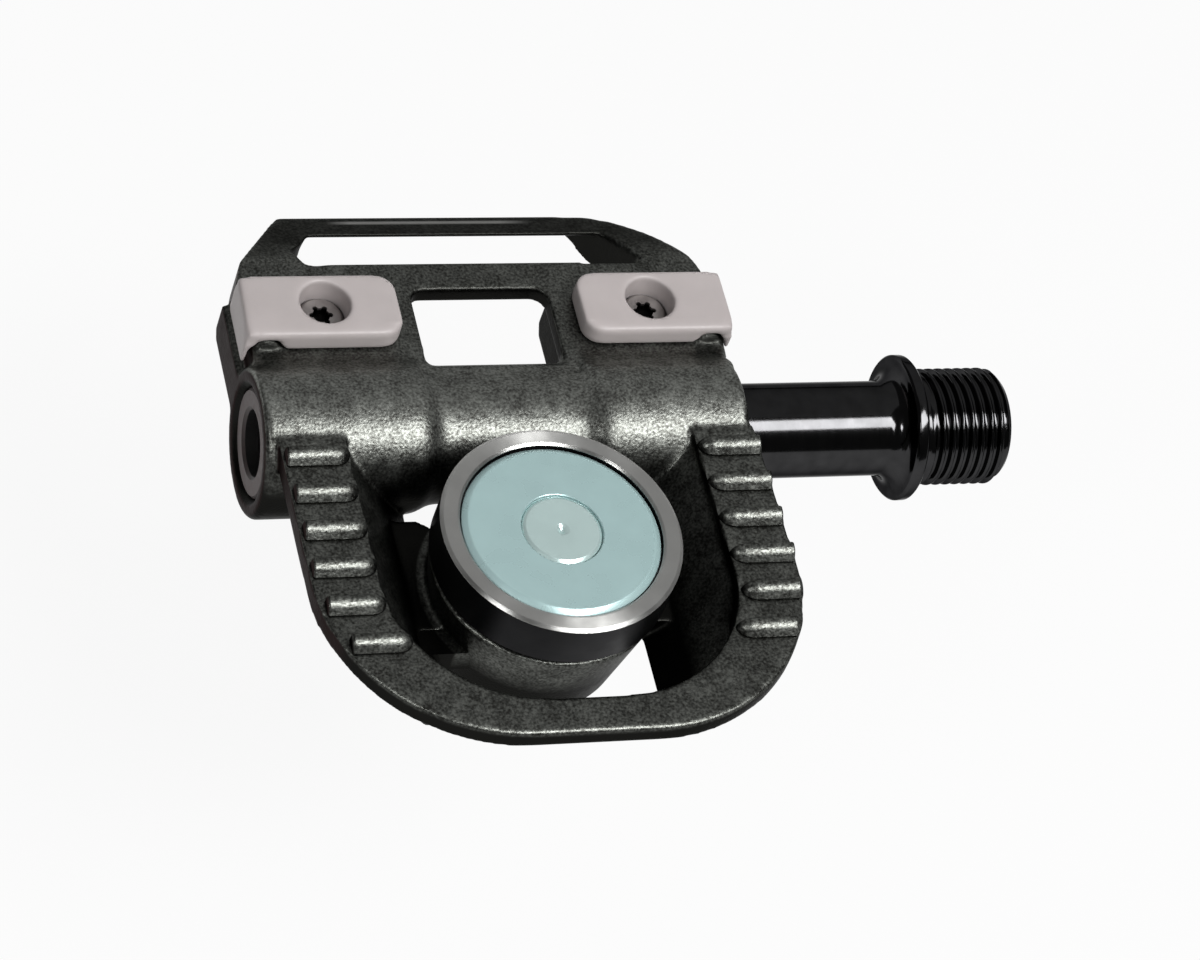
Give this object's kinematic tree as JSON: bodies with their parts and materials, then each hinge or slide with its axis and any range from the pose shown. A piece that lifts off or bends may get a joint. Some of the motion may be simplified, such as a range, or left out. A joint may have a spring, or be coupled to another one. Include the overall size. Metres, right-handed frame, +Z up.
{
  "type": "magnetic bicycle pedal",
  "caption": "Bicycle pedal with a round pot magnet in an open ribbed front loop, light grey grip pads at the rear, and a cast body that spins on a threaded spindle.",
  "frame": {"origin": "on the spindle's axis, in the flange face that seats on the crank", "axes": "+X along the thread into the crank, +Y to the pedal's rear with the grip pads, +Z up out of the magnet's face"},
  "size_m": [0.0944, 0.0792, 0.0213],
  "materials": {
    "cast_body": "black coated casting with a fine speckle",
    "grip_pad": "moulded light grey plastic",
    "screw_steel": "plain steel",
    "pot_steel": "turned steel, satin",
    "zinc_plate": "blue-passivated zinc plate",
    "bolt_zinc": "bright zinc plate",
    "filler_resin": "dark cast resin",
    "black_steel": "polished black steel",
    "bronze_ring": "dull brown sintered bronze",
    "bush_polymer": "bearing polymer",
    "seal_rubber": "black rubber",
    "bearing_steel": "ground bearing steel",
    "shield_steel": "pressed sheet"
  },
  "bodies": {
    "spindle": {"spindle": "black_steel", "spindle_end_washer": "screw_steel", "spindle_end_screw": "black_steel", "inner_bearing_spacer": "screw_steel", "outboard_bearing_inner_ring": "bearing_steel", "middle_bearing_inner_ring": "bearing_steel"},
    "pedal": {"pedal_body": "cast_body", "outer_grip_pad": "grip_pad", "inner_grip_pad": "grip_pad", "outer_pad_screw": "screw_steel", "inner_pad_screw": "screw_steel", "magnet_damper": "seal_rubber", "magnet_cup": "pot_steel", "magnet_ring": "zinc_plate", "magnet_gap_filler": "filler_resin", "magnet_bolt": "bolt_zinc", "magnet_washer": "screw_steel", "magnet_nut": "screw_steel", "bearing_retainer_ring": "bronze_ring", "outer_bearing_spacer": "screw_steel", "plain_bush": "bush_polymer", "lip_seal": "seal_rubber", "outboard_bearing_outer_ring": "bearing_steel", "outboard_bearing_shields": "shield_steel", "middle_bearing_outer_ring": "bearing_steel", "middle_bearing_shields": "shield_steel"},
    "outboard_ball_set": {"outboard_bearing_balls": "bearing_steel", "outboard_bearing_cage": "bush_polymer"},
    "middle_ball_set": {"middle_bearing_balls": "bearing_steel", "middle_bearing_cage": "bush_polymer"}
  },
  "joints": [
    {"name": "pedal_spin", "type": "hinge", "parent": "spindle", "child": "pedal", "pos_m": [-0.052, 0, 0], "axis": [1, 0, 0], "continuous": true},
    {"name": "outboard_ball_set_spin", "type": "hinge", "parent": "spindle", "child": "outboard_ball_set", "pos_m": [-0.075, 0, 0], "axis": [1, 0, 0], "continuous": true},
    {"name": "middle_ball_set_spin", "type": "hinge", "parent": "spindle", "child": "middle_ball_set", "pos_m": [-0.068, 0, 0], "axis": [1, 0, 0], "continuous": true}
  ],
  "couplings": [
    {"joint": "outboard_ball_set_spin", "follows": "pedal_spin", "ratio": 0.60526},
    {"joint": "middle_ball_set_spin", "follows": "pedal_spin", "ratio": 0.60526}
  ]
}
